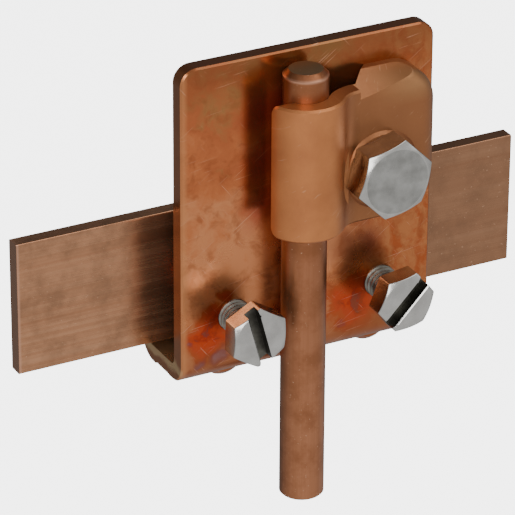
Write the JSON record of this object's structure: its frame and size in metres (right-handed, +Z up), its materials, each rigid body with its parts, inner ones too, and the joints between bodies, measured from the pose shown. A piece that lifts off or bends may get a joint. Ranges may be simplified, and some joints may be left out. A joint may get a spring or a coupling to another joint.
{
  "type": "saddle clamp",
  "caption": "Bent copper saddle clamp holding a round conductor upright against a plate, and a flat bar in its open U with two pressure screws.",
  "frame": {"origin": "centre of the flat bar's left end face", "axes": "+X along the bar to the right, +Y from the front plate to the rear leg, +Z up along the round conductor"},
  "size_m": [0.098, 0.0287, 0.0843],
  "materials": {
    "saddle_copper": "bright rolled copper with heat tint",
    "cleat_copper": "matt pressed copper",
    "bar_copper": "satin drawn copper",
    "rod_copper": "satin drawn copper",
    "stainless": "satin stainless steel"
  },
  "bodies": {
    "bar": {"flat_bar": "bar_copper"},
    "saddle": {"saddle_body": "saddle_copper"},
    "conductor": {"round_conductor": "rod_copper"},
    "cleat": {"cleat": "cleat_copper"},
    "clamp_bolt": {"clamp_bolt": "stainless"},
    "screw_left": {"pressure_screw_left": "stainless"},
    "screw_right": {"pressure_screw_right": "stainless"}
  },
  "joints": [
    {"name": "saddle_slide", "type": "slide", "parent": "bar", "child": "saddle", "axis": [1, 0, 0], "range_m": [-0.02, 0.02]},
    {"name": "conductor_slide", "type": "slide", "parent": "saddle", "child": "conductor", "axis": [0, 0, 1], "range_m": [-0.0045, 0.03]},
    {"name": "cleat_lift", "type": "slide", "parent": "saddle", "child": "cleat", "axis": [0, -1, 0], "range_m": [0, 0.00375]},
    {"name": "clamp_bolt_turn", "type": "hinge", "parent": "cleat", "child": "clamp_bolt", "pos_m": [0.0615, -0.0113, 0.02085], "axis": [0, -1, 0], "range_deg": [0, 1080]},
    {"name": "screw_left_travel", "type": "slide", "parent": "saddle", "child": "screw_left", "axis": [0, -1, 0], "range_m": [0, 0.006]},
    {"name": "screw_right_travel", "type": "slide", "parent": "saddle", "child": "screw_right", "axis": [0, -1, 0], "range_m": [0, 0.006]}
  ],
  "couplings": [
    {"joint": "clamp_bolt_turn", "follows": "cleat_lift", "rad_per_m": 5026.5}
  ]
}
